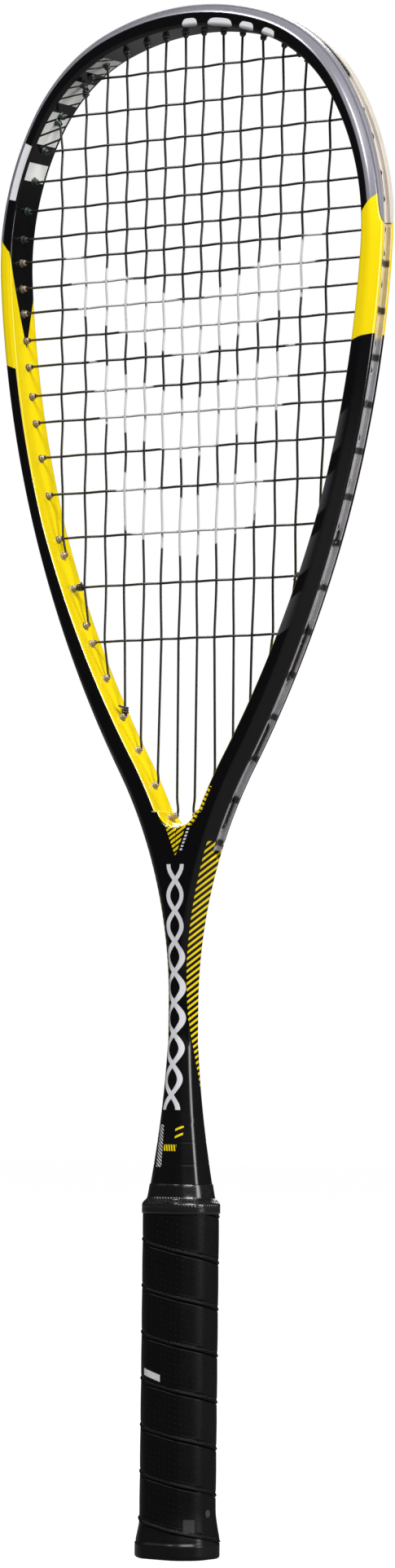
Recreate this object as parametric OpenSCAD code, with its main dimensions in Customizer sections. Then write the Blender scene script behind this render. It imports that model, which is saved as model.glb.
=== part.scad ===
// Squash racket with a teardrop head, strung and gripped.
// X runs across the strings, -Y is the front, +Z runs from the butt to the tip.
// The origin is the middle of the flat butt face.  Millimetres.

/* [Head outline] */
// Overall length, butt face to the crown of the bumper
racket_length = 686; // [680:1:687]
// Radius of the crown
crown_r = 130; // [126:1:134]
// Turn of the crown on each side of the middle, degrees
crown_turn = 20; // [19:0.5:21]
// Radius of the shoulder
shoulder_r = 81; // [79:0.5:83]
// Turn of the shoulder, degrees
shoulder_turn = 38.5; // [38:0.5:39]
// Radius of the widest part of the side
side_r = 126; // [124:0.5:128]
// Turn of the side, degrees
side_turn = 35; // [34.5:0.5:35.5]
// Radius of the long arm that runs down to the throat
arm_r = 496; // [490:1:500]
// Turn of the arm, degrees
arm_turn = 27.5; // [27:0.5:28]
// Half the width of the shaft where the two arms have joined
shaft_half_w = 5.7; // [5.4:0.1:5.9]

/* [Beam] */
// Beam thickness in the string plane, at the widest part of the head
beam_t = 8.4; // [8:0.1:9]
// Beam thickness at the crown
crown_t = 10.4; // [9.5:0.1:10.8]
// Beam thickness beside the throat
throat_t = 11.8; // [11:0.1:12]
// Beam depth, front to back, around the head
beam_d = 18.4; // [18:0.1:19]
// Shaft depth, front to back
shaft_d = 14; // [13.6:0.1:14.4]
// Wall of the moulded carbon tube
tube_wall = 1.2; // [1:0.1:1.3]
// Height at which the beam starts to get shallower
taper_top = 455; // [440:5:470]
// Height at which it has the depth of the shaft
taper_bottom = 255; // [245:5:265]
// Radius of the round bottom of the throat opening
throat_r = 10.7; // [10.4:0.1:11]
// Height of the lowest point of the throat opening
throat_z = 320.5; // [320:0.5:322]

/* [Strings] */
// String diameter
string_d = 1.2; // [1.1:0.05:1.25]
// Gaps between the mains, from the middle of the head outwards
main_gaps = [9.6, 10.2, 9.9, 10.6, 10.7, 11.5, 13.1]; // [9:0.1:14]
// How much the mains fan out per millimetre of height
main_fan = 0.00023; // [0.0001:0.00001:0.0003]
// Height at which main_gaps is measured
main_level = 450; // [440:1:460]
// Height of the top cross string
cross_top = 659; // [657:0.5:660]
// Gaps between the crosses, from the top down
cross_gaps = [15.6, 15, 13.2, 13.2, 12.6, 10.6, 11.8, 11.4, 12.4,
              12.2, 13.4, 12.4, 16, 17.2, 20, 22.6, 25]; // [10:0.2:26]
// Heights of the lower main string holes, from the middle outwards
main_feet = [326, 340, 356, 371, 388.5, 412.5, 444.5]; // [325:0.5:446]

/* [Bumper and grommets] */
// Turn at which the bumper guard ends, degrees from the crown
bumper_end = 89; // [88.8:0.1:89.1]
// Thickness of the bumper guard over the head
bumper_t = 0.9; // [0.8:0.1:1]
// Half the width of the bumper guard
bumper_half_w = 5.4; // [5:0.1:5.6]
// Half the width of the string groove
groove_half_w = 2.9; // [2.8:0.1:3]
// Depth of the string groove
groove_depth = 2.4; // [2.2:0.1:2.5]
// Wall of the grommet strip in the groove
strip_wall = 0.7; // [0.6:0.1:0.8]
// Outer diameter of a grommet barrel
barrel_d = 3; // [2.8:0.1:3.1]
// Inner diameter of a grommet barrel
barrel_bore = 1.9; // [1.7:0.1:2]
// How far a barrel stands out of the inner wall
barrel_out = 2; // [1.6:0.1:2.4]
// Height at which the grommet strips end
strip_end_z = 309; // [306:1:312]

/* [Handle] */
// Length of the grip, from the butt face to its upper edge
grip_top = 155.5; // [150:0.5:160]
// Width of the grip, across the strings
grip_w = 32; // [31:0.2:33]
// Depth of the grip, front to back
grip_d = 29; // [28:0.2:30]
// Thickness of the wrapped grip tape
grip_t = 1.9; // [1.7:0.1:2]
// How far the butt flares out on each side
flare = 1.9; // [1.5:0.1:2]
// Height at which the flare starts
flare_h = 20; // [18:1:21]
// Height at which it is complete
flare_full = 8; // [7.5:0.5:9]
// Height at which the handle cone meets the shaft
cone_top = 230; // [225:1:235]
// Thickness of the butt cap wall
cap_wall = 1.2; // [1.1:0.1:1.3]
// Height of the butt cap's skirt under the grip
cap_skirt = 38; // [34:1:42]

/* [Hidden] */

HOLE_FN = 24;             // smoothness of holes and barrels
FAR = 400;                // farther than any part of the head
FIT = 0.05;               // play between a barrel and its hole

// ---- outline: a chain of arcs, right half, from the crown round to the shaft ----
// A place on the outline is named by its turn u: 0 at the crown, negative on the left.
function out_dir(h) = [sin(h), cos(h)];
h_shoulder = crown_turn + shoulder_turn;
h_side = h_shoulder + side_turn;
h_arm = h_side + arm_turn;
u_end = h_arm + (h_arm - 90);
c_crown = [0, racket_length - crown_r];
c_shoulder = c_crown + (crown_r - shoulder_r) * out_dir(crown_turn);
c_side = c_shoulder + (shoulder_r - side_r) * out_dir(h_shoulder);
c_arm = c_side + (side_r - arm_r) * out_dir(h_side);
p_arm = c_arm + arm_r * out_dir(h_arm);
throat_arc_r = (p_arm.x - shaft_half_w) / (1 - sin(h_arm));
c_throat = p_arm + throat_arc_r * out_dir(h_arm);
z_shaft = c_throat.y;

// each arc: centre, radius, first turn, last turn, side of the centre (1 inside, -1 outside)
ARCS = [
    [c_crown, crown_r, 0, crown_turn, 1],
    [c_shoulder, shoulder_r, crown_turn, h_shoulder, 1],
    [c_side, side_r, h_shoulder, h_side, 1],
    [c_arm, arm_r, h_side, h_arm, 1],
    [c_throat, throat_arc_r, h_arm, u_end, -1],
];
function arc_at(a) = ARCS[a < crown_turn ? 0 : a < h_shoulder ? 1 : a < h_side ? 2 : a < h_arm ? 3 : 4];
function heading(a) = a < h_arm ? a : 2 * h_arm - a;
// past u_end the turn counts millimetres down the straight shaft
function right_point(a, w) = a > u_end
    ? [shaft_half_w - w, z_shaft - (a - u_end)]
    : let (k = arc_at(a)) k[0] + (k[4] * k[1] - w) * out_dir(heading(a));
// point at turn u, w inwards of the outline
function at(u, w) = let (p = right_point(abs(u), w)) [u < 0 ? -p.x : p.x, p.y];

// the turns at which cross-sections are drawn, between two turns
STEPS = [5, 5, 5, 2, 1.2];            // largest step on each arc, degrees
TURNS = [for (n = [0 : 4]) let (k = ARCS[n], m = ceil((k[3] - k[2]) / STEPS[n]))
    each [for (i = [0 : m - 1]) k[2] + i * (k[3] - k[2]) / m]];
function stations(u0, u1) = concat([u0], [for (u = TURNS) if (u > u0 + 0.2 && u < u1 - 0.2) u], [u1]);
function reversed(v) = [for (i = [len(v) - 1 : -1 : 0]) v[i]];
function both_sides(us) = concat([for (u = reversed(us)) if (u > 0) -u], us);

// turn of the point that has height z (or distance x from the middle), w inwards
function turn_on(k, h) = k[4] > 0 ? h : 2 * h_arm - h;
function turns_at_z(z, w) = [for (k = ARCS)
    let (q = (z - k[0].y) / (k[4] * k[1] - w), u = abs(q) > 1 ? -1 : turn_on(k, acos(q)))
    if (u >= k[2] - 1e-9 && u <= k[3] + 1e-9) u];
function turns_at_x(x, w) = [for (k = ARCS)
    let (q = (x - k[0].x) / (k[4] * k[1] - w), u = abs(q) > 1 ? -1 : turn_on(k, asin(q)))
    if (u >= k[2] - 1e-9 && u <= k[3] + 1e-9) u];

function clamp01(v) = min(max(v, 0), 1);
// beam thickness at height z
crown_low = 590;                      // height above which the beam thickens to the crown
function thick(z) = beam_t
    + (crown_t - beam_t) * pow(clamp01((z - crown_low) / (racket_length - crown_low)), 2)
    + (throat_t - beam_t) * clamp01((taper_top - z) / (taper_top - throat_z));
function thick_u(u) = thick(at(u, 0).y);

// ---- string bed ----
cross_z = [for (i = 0, z = cross_top; i <= len(cross_gaps);
    z = z - (i < len(cross_gaps) ? cross_gaps[i] : 0), i = i + 1) z];
main_half = [for (j = 0, x = main_gaps[0] / 2; j < len(main_gaps);
    j = j + 1, x = x + (j < len(main_gaps) ? main_gaps[j] : 0)) x];
HALF = len(main_half);
N_MAINS = 2 * HALF;
N_CROSSES = len(cross_z);
string_r = string_d / 2;
weave = string_r + 0.04;              // half the spacing of two crossing strings
groove_lane = 1.3;                    // sideways place of a string that lies in the groove
groove_seat = groove_depth - strip_wall - string_r - 0.05;

top_level = racket_length - 40;       // height at which the tops of the mains are spaced

// mains are numbered from the left
function half_index(j) = j < HALF ? HALF - 1 - j : j - HALF;
function main_side(j) = j < HALF ? -1 : 1;
function main_x(j, z) = main_side(j) * main_half[half_index(j)] * (1 + main_fan * (z - main_level));
function top_turn(j) = main_side(j) * turns_at_x(abs(main_x(j, top_level)), tip_w(0))[0];
function tip_w(u) = thick_u(u) + barrel_out;
// the turn of a hole whose mouth has height z, for crosses and for the lower ends of the mains
function hole_turn_z(z) = turns_at_z(z, thick(z) + barrel_out)[0];
function foot_turn(j) = let (z = main_feet[half_index(j)])
    main_side(j) * (half_index(j) == 0
        ? 2 * h_arm - acos((c_throat.y - z) / norm([main_half[0] - c_throat.x, z - c_throat.y]))
        : hole_turn_z(z));
function foot_w(j) = half_index(j) == 0
    ? norm([main_half[0] - c_throat.x, main_feet[0] - c_throat.y]) - throat_arc_r
    : tip_w(foot_turn(j));
function cross_turn(i) = hole_turn_z(cross_z[i]);
CROSS_TURNS = [for (i = [0 : N_CROSSES - 1]) cross_turn(i)];
TOP_TURNS = [for (j = [0 : N_MAINS - 1]) top_turn(j)];
FOOT_TURNS = [for (j = [0 : N_MAINS - 1]) foot_turn(j)];

// every hole: [turn, distance of its mouth from the outline]
HOLES = concat(
    [for (u = TOP_TURNS) [u, tip_w(u)]],
    [for (j = [0 : N_MAINS - 1]) [FOOT_TURNS[j], foot_w(j)]],
    [for (u = CROSS_TURNS, s = [-1, 1]) [s * u, tip_w(u)]]
);

// ---- cross-sections and lofts ----
// one cross-section: points given as [distance inwards, height], placed at turn u
function place(u, points) = [for (p = points) let (q = at(u, p[0])) [q.x, p[1], q.y]];
function mirrored(points) = concat(points, [for (p = reversed(points)) [p[0], -p[1]]]);
// a solid through a row of cross-sections that all have the same number of points
module loft(rings) {
    n = len(rings);
    m = len(rings[0]);
    walls = [for (i = [0 : n - 2], s = [0 : m - 1])
        let (a = i * m + s, b = i * m + (s + 1) % m)
        each [[a, b, b + m], [a, b + m, a + m]]];
    ends = [[for (s = [m - 1 : -1 : 0]) s], [for (s = [0 : m - 1]) (n - 1) * m + s]];
    polyhedron(points = [for (r = rings) each r], faces = concat(walls, ends), convexity = 20);
}

// half the beam's depth at height z
function half_depth(z) = beam_d / 2
    - (beam_d - shaft_d) / 2 * clamp01((taper_top - z) / (taper_top - taper_bottom));

// the beam ends inwards at its inner wall, at the round throat, or at the middle plane
throat_c = throat_z + throat_r;
throat_join = throat_c - throat_r * 0.38;
function to_middle(u) = u > u_end ? shaft_half_w
    : let (k = arc_at(u)) k[4] > 0 ? FAR : k[0].x / sin(heading(u)) - k[1];
function to_throat(u) = let (
        p = at(u, 0), d = at(u, 1) - p, q = [0, throat_c] - p, along = q * d,
        under = throat_r * throat_r - (q * q - along * along))
    under > 0 ? along - sqrt(under) : FAR;
function inner_w(u) = let (t = thick_u(u), p = at(u, t))
    u < h_arm || (p.y > throat_join && p.x > 0) ? t
    : let (w = to_throat(u)) at(u, w).x >= 0 && w < to_middle(u) ? w : to_middle(u);

// a round hole or barrel along the beam's normal, between two distances inwards
module along_normal(u, w0, w1, d) {
    p0 = at(u, w0);
    p1 = at(u, w1);
    translate([p0.x, 0, p0.y])
        rotate([0, atan2(p1.x - p0.x, p1.y - p0.y), 0])
            cylinder(d = d, h = norm(p1 - p0), $fn = HOLE_FN);
}

// ---- frame: one moulded carbon hairpin, hoop, throat and shaft ----
strip_u = turns_at_z(strip_end_z, 0)[0];
shaft_bottom = 20;
u_bottom = u_end + z_shaft - shaft_bottom;
side_flat = 0.48;                     // flat part of the outer wall, as a share of the depth
slope = [2.8, 0.8];                   // where the outer slope ends: inwards, and below the face
face_w = 4.2;                         // how far inwards the flat face starts
face_wall = 1.8;                      // wall of the tube under the two faces
no_groove = 0.05;
function frame_section(u) = let (
        z = at(u, 0).y, h = half_depth(z), w0 = u < bumper_end ? bumper_t : 0,
        f = side_flat * h + 1.2 * w0, g = groove_half_w,
        wg = u < strip_u ? groove_depth : no_groove,
        in = inner_w(u), s = clamp01((z - taper_bottom) / 50), cut = 0.05 + 0.95 * s)
    place(u, mirrored([
        [wg, g], [w0, g], [w0, f], [slope[0], h - slope[1]], [face_w, h],
        [in - 0.4 - 0.8 * s, h], [in, h - cut],
    ]));
module frame_half()
    loft([for (u = concat(
        stations(0, bumper_end), stations(bumper_end + 0.05, strip_u),
        stations(strip_u + 0.1, u_end), [u_bottom])) frame_section(u)]);
function cavity_section(u) = let (
        a = abs(u), h = half_depth(at(u, 0).y) - face_wall,
        w0 = (a < strip_u + 0.3 ? groove_depth : 0) + tube_wall,
        w1 = min(inner_w(a), to_middle(a) + 0.5) - tube_wall)
    place(u, mirrored([[w0, h], [w1, h]]));
module frame_cavity()
    loft([for (u = both_sides(concat(
        stations(0, strip_u + 0.2), stations(strip_u + 2, u_end), [u_bottom - 0.5]))) cavity_section(u)]);
module frame() color([0.09, 0.09, 0.1])
    difference() {
        union() {
            frame_half();
            mirror([1, 0, 0]) frame_half();
        }
        frame_cavity();
        for (h = HOLES) along_normal(h[0], 0.5, h[1] + 1, barrel_d + 2 * FIT);
    }

// ---- bumper guard and grommet strips: a channel in the groove with a barrel for each string ----
lip = 0.2;
play = 0.03;                          // play between the strips and the groove
channel = [groove_depth - strip_wall, groove_half_w - strip_wall];
function strip_section(u) = place(u, mirrored([
    [channel[0], channel[1]], [-lip, channel[1]], [-lip, groove_half_w - play],
    [groove_depth - play, groove_half_w - play],
]));
function guard_section(u) = place(u, mirrored([
    [channel[0], channel[1]], [0, channel[1]], [0, bumper_half_w], [bumper_t - play, bumper_half_w],
    [bumper_t - play, groove_half_w - play], [groove_depth - play, groove_half_w - play],
]));
module barrels(from_u, to_u)
    for (h = HOLES) if (h[0] >= from_u && h[0] <= to_u)
        along_normal(h[0], groove_depth - strip_wall / 2, h[1], barrel_d);
module barrel_bores(from_u, to_u)
    for (h = HOLES) if (h[0] >= from_u && h[0] <= to_u)
        along_normal(h[0], groove_depth - strip_wall - 1, h[1] + 1, barrel_bore);
module bumper_guard() color([0.82, 0.82, 0.8])
    difference() {
        union() {
            loft([for (u = both_sides(stations(0, bumper_end))) guard_section(u)]);
            barrels(-bumper_end, bumper_end);
        }
        barrel_bores(-bumper_end, bumper_end);
    }
module grommet_strip()
    difference() {
        union() {
            loft([for (u = stations(bumper_end + 0.3, strip_u - 0.3)) strip_section(u)]);
            barrels(bumper_end, u_end);
        }
        barrel_bores(bumper_end, u_end);
    }
module grommet_strip_right() color([0.72, 0.68, 0.58]) grommet_strip();
module grommet_strip_left() color([0.72, 0.68, 0.58]) mirror([1, 0, 0]) grommet_strip();

// ---- strings: each is one tube swept along its woven path ----
SIDES = 6;
// a point in space at turn u, w inwards and y towards the back
function flat(u, w, y) = let (p = at(u, w)) [p.x, y, p.y];
// the turn that is one millimetre of the outline long
function mm_turn(u) = 180 / PI / arc_at(abs(u))[1];
// from the mouth of the hole at u out to the groove, then towards the turn v in lane y
function turn_out(u, mouth, v, y) = let (s = v > u ? 1 : -1, d = s * mm_turn(u)) [
    flat(u, mouth, 0),
    flat(u, groove_seat + 1.2, 0),
    flat(u + 0.4 * d, groove_seat + 0.4, y * 0.15),
    flat(u + 1.3 * d, groove_seat, y * 0.45),
    flat(u + 2.6 * d, groove_seat, y),
];
// a loop through the groove from hole u to hole v
function groove_loop(u, mu, v, mv, y) = concat(
    turn_out(u, mu, v, y),
    [for (f = [0.35, 0.65]) flat(u + (v - u) * f, groove_seat, y)],
    reversed(turn_out(v, mv, u, y))
);
// the end of a string: out of its hole and a little way along the groove
function tail(u, mouth, y) = let (v = u + (u > 0 ? -1 : 1) * 8 * mm_turn(u))
    concat(turn_out(u, mouth, v, y), [flat(v, groove_seat, y)]);
// how far from the middle a string can be at height z before it would meet the barrels
function wall_x(z) = let (w = thick(z) + barrel_out + 1.2, u = turns_at_z(z, w)) len(u) ? at(u[0], w).x : 0;
// where main j crosses cross i; a main that reaches the wall is pushed in by the barrels
function bed_point(j, i, lift) = let (z = cross_z[i], x = main_x(j, z), limit = z < 500 ? wall_x(z) : FAR)
    [main_side(j) * min(abs(x), limit), lift * weave * ((i + j) % 2 == 0 ? 1 : -1), z];
clearance = 1.5;                      // least distance between a cross and the end of a main
function crosses_main(j, i) =
    cross_z[i] < flat(TOP_TURNS[j], tip_w(TOP_TURNS[j]), 0).z - clearance
    && cross_z[i] > flat(FOOT_TURNS[j], foot_w(j), 0).z + clearance;
function main_run(j) = [for (i = [0 : N_CROSSES - 1]) if (crosses_main(j, i)) bed_point(j, i, 1)];
function cross_run(i) = [for (j = [0 : N_MAINS - 1]) if (crosses_main(j, i)) bed_point(j, i, -1)];
function top_mouth(j) = tip_w(TOP_TURNS[j]);
MAIN_PATH = concat(
    reversed(tail(FOOT_TURNS[0], foot_w(0), groove_lane)),
    [for (j = [0 : N_MAINS - 1]) each concat(
        j % 2 == 0 ? reversed(main_run(j)) : main_run(j),
        j == N_MAINS - 1 ? tail(FOOT_TURNS[j], foot_w(j), groove_lane)
        : j % 2 == 0
        ? groove_loop(TOP_TURNS[j], top_mouth(j), TOP_TURNS[j + 1], top_mouth(j + 1), groove_lane)
        : groove_loop(FOOT_TURNS[j], foot_w(j), FOOT_TURNS[j + 1], foot_w(j + 1), groove_lane)
    )]
);
CROSS_PATH = concat(
    reversed(tail(-CROSS_TURNS[0], tip_w(CROSS_TURNS[0]), -groove_lane)),
    [for (i = [0 : N_CROSSES - 1]) let (s = i % 2 == 0 ? 1 : -1, u = CROSS_TURNS[i]) each concat(
        s > 0 ? cross_run(i) : reversed(cross_run(i)),
        i == N_CROSSES - 1 ? tail(-u, tip_w(u), -groove_lane)
        : groove_loop(s * u, tip_w(u), s * CROSS_TURNS[i + 1], tip_w(CROSS_TURNS[i + 1]), -groove_lane)
    )]
);
function unit(v) = v / norm(v);
function tangent(path, i) = unit(path[min(i + 1, len(path) - 1)] - path[max(i - 1, 0)]);
function ring(p, t, r) = let (a = unit(cross(t, [0, 1, 0])), b = cross(a, t))
    [for (s = [0 : SIDES - 1]) p + r * (cos(360 * s / SIDES) * a + sin(360 * s / SIDES) * b)];
module tube(path, r) loft([for (i = [0 : len(path) - 1]) ring(path[i], tangent(path, i), r)]);
module main_string() color([0.1, 0.1, 0.11]) tube(MAIN_PATH, string_r);
module cross_string() color([0.1, 0.1, 0.11]) tube(CROSS_PATH, string_r);

// tie-off knots, two turns round the string that each end is tied to
knot_r = 0.5;
module knot(p, dir)
    translate(p)
        rotate([0, atan2(dir.x, dir.z), 0])
            for (s = [-1, 1]) translate([0, 0, s * 0.42])
                rotate_extrude($fn = 32)
                    translate([string_r + knot_r + 0.12, 0])
                        circle(r = knot_r, $fn = 20);
module string_knots() color([0.12, 0.12, 0.13]) {
    tied = N_CROSSES - 2;
    mouth = flat(CROSS_TURNS[tied], tip_w(CROSS_TURNS[tied]), 0);
    for (s = [-1, 1]) knot([s * (mouth.x - 2), 0, mouth.z], [1, 0, 0]);
    for (j = [1, 3]) {
        foot = j == 1 ? flat(TOP_TURNS[j], top_mouth(j), 0) : flat(FOOT_TURNS[j], foot_w(j), 0);
        next = j == 1 ? main_run(j)[0] : main_run(j)[len(main_run(j)) - 1];
        dir = unit(next - foot);
        knot(foot + 2 * dir, dir);
    }
}

// ---- handle ----
// an octagon w wide and d deep with corners cut back by c
function octagon(w, d, c) = [
    [w / 2, -d / 2 + c], [w / 2, d / 2 - c], [w / 2 - c, d / 2], [-w / 2 + c, d / 2],
    [-w / 2, d / 2 - c], [-w / 2, -d / 2 + c], [-w / 2 + c, -d / 2], [w / 2 - c, -d / 2],
];
corner = 7.2;
// octagon of the grip's outside moved inwards by gap, grown by out
function grip_octagon(gap, out) = octagon(
    grip_w - 2 * gap + 2 * out, grip_d - 2 * gap + 2 * out, corner - 0.59 * gap + 0.59 * out);
module octagon_loft(rings) loft([for (r = rings) [for (p = reversed(r[1])) [p.x, p.y, r[0]]]]);
// how far the butt has flared at height z
function flare_at(z) = flare * pow(clamp01((flare_h - z) / (flare_h - flare_full)), 1.3);
cone_steps = 12;
cap_floor = 3;
module cone_rings_loft(low_rings)
    octagon_loft(concat(low_rings, [for (n = [0 : cone_steps])
        let (z = grip_top + (cone_top - grip_top) * n / cone_steps, s = pow(1 - n / cone_steps, 1.6),
            w = 2 * shaft_half_w + 0.6, d = shaft_d + 0.6)
        [z, octagon(w + s * (grip_w - 2 * grip_t - w), d + s * (grip_d - 2 * grip_t - d),
            2.3 + s * (corner - 0.59 * grip_t - 2.3))]]));
module handle_core() color([0.2, 0.2, 0.21])
    difference() {
        cone_rings_loft([
            [cap_floor, grip_octagon(grip_t + cap_wall, 0)],
            [cap_skirt, grip_octagon(grip_t + cap_wall, 0)],
            [cap_skirt + 0.01, grip_octagon(grip_t, 0)],
        ]);
        translate([0, 0, shaft_bottom])
            linear_extrude(height = z_shaft)
                polygon(octagon(2 * shaft_half_w, shaft_d, 2.8));
        translate([0, 0, cap_floor - 1]) linear_extrude(height = shaft_bottom - cap_floor + 1.5)
            polygon(octagon(2 * shaft_half_w + 4, shaft_d + 2, 2));
    }
module butt_cap() color([0.07, 0.07, 0.08])
    difference() {
        octagon_loft([
            [0, grip_octagon(grip_t + 0.6, flare + grip_t)],
            [1.5, grip_octagon(grip_t, flare + grip_t)],
            [7, grip_octagon(grip_t, flare_at(7) + grip_t)],
            [7.01, grip_octagon(grip_t, flare_at(7))],
            [flare_h, grip_octagon(grip_t, 0)],
            [cap_skirt, grip_octagon(grip_t, 0)],
        ]);
        translate([0, 0, cap_floor]) linear_extrude(height = cap_skirt)
            polygon(grip_octagon(grip_t + cap_wall, 0));
    }

// wire staples through the skirt of the cap, one on each wide face
staple_z = 26;
staple_w = 10;
wire = 0.9;
module staple()
    translate([0, -grip_d / 2 + grip_t - 0.35, staple_z]) {
        rotate([0, 90, 0]) cylinder(d = wire, h = staple_w + wire, center = true, $fn = 16);
        for (s = [-1, 1]) translate([s * staple_w / 2, 0, 0])
            rotate([-90, 0, 0]) cylinder(d = wire, h = 6, $fn = 16);
    }
module butt_cap_staples() color([0.7, 0.7, 0.72]) {
    staple();
    mirror([0, 1, 0]) staple();
}

grip_low = 7.2;
module grip_wrap() color([0.05, 0.05, 0.055])
    difference() {
        octagon_loft([
            [grip_low, grip_octagon(0, flare_at(grip_low))],
            [9, grip_octagon(0, flare_at(9))],
            [11, grip_octagon(0, flare_at(11))],
            [14, grip_octagon(0, flare_at(14))],
            [17, grip_octagon(0, flare_at(17))],
            [flare_h, grip_octagon(0, 0)],
            [grip_top, grip_octagon(0, 0)],
        ]);
        octagon_loft([
            [grip_low - 0.01, grip_octagon(grip_t, flare_at(grip_low) + 0.02)],
            [flare_h, grip_octagon(grip_t, 0)],
            [grip_top + 0.01, grip_octagon(grip_t, 0)],
        ]);
    }

// the small nail that holds the start of the tape at the butt
module grip_tack() color([0.75, 0.72, 0.6])
    translate([grip_w / 2 - 0.2, 0, 20]) rotate([0, 90, 0]) {
        cylinder(d = 3.4, h = 0.6, $fn = 32);
        translate([0, 0, -6]) cylinder(d = 1, h = 6.1, $fn = 16);
    }

// adhesive tape over the upper end of the grip
tape_t = 0.4;
tape_low = grip_top - 5;
tape_high = grip_top + 8;
module finishing_tape() color([0.1, 0.1, 0.11])
    difference() {
        octagon_loft([
            [tape_low, grip_octagon(0, tape_t)],
            [grip_top + 0.3, grip_octagon(0, tape_t)],
            [tape_high, grip_octagon(grip_t - tape_t, -0.35)],
        ]);
        octagon_loft([
            [tape_low - 1, grip_octagon(0, 0)],
            [grip_top, grip_octagon(0, 0)],
            [grip_top + 0.01, grip_octagon(grip_t, 0)],
            [tape_high + 1, grip_octagon(grip_t, 0)],
        ]);
    }

frame();
bumper_guard();
grommet_strip_left();
grommet_strip_right();
main_string();
cross_string();
string_knots();
handle_core();
butt_cap();
butt_cap_staples();
grip_wrap();
grip_tack();
finishing_tape();
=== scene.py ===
"""The looks of a squash racket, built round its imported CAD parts.

X runs across the strings, -Y is the front, +Z runs from the butt to the tip.
Lengths are in millimetres, and make_piece() turns them into metres.
A place on the hoop is named by its turn, in degrees from the crown and negative on the left,
and by how far it lies inwards of the outline.
"""

import math

import bmesh
import bpy
import numpy as np
from mathutils import Matrix, Vector


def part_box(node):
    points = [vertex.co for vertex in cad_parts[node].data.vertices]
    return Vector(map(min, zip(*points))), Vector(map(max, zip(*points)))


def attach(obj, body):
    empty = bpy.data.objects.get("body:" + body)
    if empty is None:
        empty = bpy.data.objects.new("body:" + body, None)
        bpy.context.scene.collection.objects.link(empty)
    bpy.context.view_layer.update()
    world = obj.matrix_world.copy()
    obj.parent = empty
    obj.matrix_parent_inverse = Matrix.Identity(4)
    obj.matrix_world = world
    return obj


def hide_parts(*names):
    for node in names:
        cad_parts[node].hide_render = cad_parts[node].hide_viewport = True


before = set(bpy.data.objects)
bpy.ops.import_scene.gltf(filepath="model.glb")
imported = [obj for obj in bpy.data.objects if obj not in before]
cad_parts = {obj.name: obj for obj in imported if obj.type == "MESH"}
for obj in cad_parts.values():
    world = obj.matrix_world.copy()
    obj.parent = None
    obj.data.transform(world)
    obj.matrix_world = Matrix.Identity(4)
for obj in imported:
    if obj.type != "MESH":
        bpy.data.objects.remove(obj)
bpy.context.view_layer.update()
MM = 0.001


def top_of(node):
    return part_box(node)[1].z / MM


# ---------------------------------------------------------------- sizes, as in the CAD part
racket_length = top_of("bumper_guard")
crown_r, crown_turn = 130, 20
shoulder_r, shoulder_turn = 81, 38.5
side_r, side_turn = 126, 35
arm_r, arm_turn = 496, 27.5
shaft_half_w = 5.7

beam_t, crown_t, throat_t = 8.4, 10.4, 11.8
beam_d, shaft_d = 18.4, 14
taper_top, taper_bottom = 455, 255
throat_r, throat_z = 10.7, 320.5

string_d = 1.2
main_gaps = [9.6, 10.2, 9.9, 10.6, 10.7, 11.5, 13.1]
main_fan, main_level = 0.00023, 450
cross_top = 659
cross_gaps = [15.6, 15, 13.2, 13.2, 12.6, 10.6, 11.8, 11.4, 12.4,
              12.2, 13.4, 12.4, 16, 17.2, 20, 22.6, 25]
main_feet = [326, 340, 356, 371, 388.5, 412.5, 444.5]

bumper_end, bumper_t, bumper_half_w = 89.0, 0.9, 5.4
groove_half_w, groove_depth, strip_wall = 2.9, 2.4, 0.7
barrel_d, barrel_bore, barrel_out = 3, 1.9, 2
strip_end_z = 309

grip_top = top_of("grip_wrap")
grip_w, grip_d, grip_t = 32, 29, 1.9
flare, flare_h, flare_full = 1.9, 20, 8
cone_top = top_of("handle_core")
corner = 7.2
shaft_bottom = 20

COLUMNS = 144                                 # points round each octagon of the handle
GRIP_START = 126                              # bearing in degrees, at the back, where they start
EDGE_SOFT, CONE_SOFT = 4.0, 2.2               # how far the corners of the grip and cone are rounded
CONE_CORNER = 3.6                             # how far the corners are cut at the cone's upper end
WRAP_PITCH, HOLE_PITCH = 20.3, 2.6            # spacing of the tape's seams and of its pinholes
WRAP_LEVEL, WRAP_BEARING = 6.1, 36            # height of the lowest seam, and the bearing it is taken at
WRAP_TURNS = 9
FULL_GRIP = (grip_w, grip_d, corner, EDGE_SOFT)


def clamp01(v):
    return min(max(v, 0.0), 1.0)


# ---------------------------------------------------------------- outline
def out_dir(turn):
    """The outward direction at that turn of the outline, in X and Z."""
    return np.array([math.sin(math.radians(turn)), math.cos(math.radians(turn))])


h_shoulder = crown_turn + shoulder_turn
h_side = h_shoulder + side_turn
h_arm = h_side + arm_turn
u_end = 2 * h_arm - 90
c_crown = np.array([0.0, racket_length - crown_r])
c_shoulder = c_crown + (crown_r - shoulder_r) * out_dir(crown_turn)
c_side = c_shoulder + (shoulder_r - side_r) * out_dir(h_shoulder)
c_arm = c_side + (side_r - arm_r) * out_dir(h_side)
p_arm = c_arm + arm_r * out_dir(h_arm)
throat_arc_r = (p_arm[0] - shaft_half_w) / (1 - math.sin(math.radians(h_arm)))
c_throat = p_arm + throat_arc_r * out_dir(h_arm)
z_shaft = c_throat[1]
u_bottom = u_end + z_shaft - shaft_bottom

# each arc: centre, radius, first turn, last turn, 1 if it bulges outwards and -1 if inwards
ARCS = [
    (c_crown, crown_r, 0, crown_turn, 1),
    (c_shoulder, shoulder_r, crown_turn, h_shoulder, 1),
    (c_side, side_r, h_shoulder, h_side, 1),
    (c_arm, arm_r, h_side, h_arm, 1),
    (c_throat, throat_arc_r, h_arm, u_end, -1),
]


def arc_at(a):
    return next((arc for arc in ARCS if a < arc[3]), ARCS[-1])


def heading(a):
    return a if a < h_arm else 2 * h_arm - a


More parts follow.
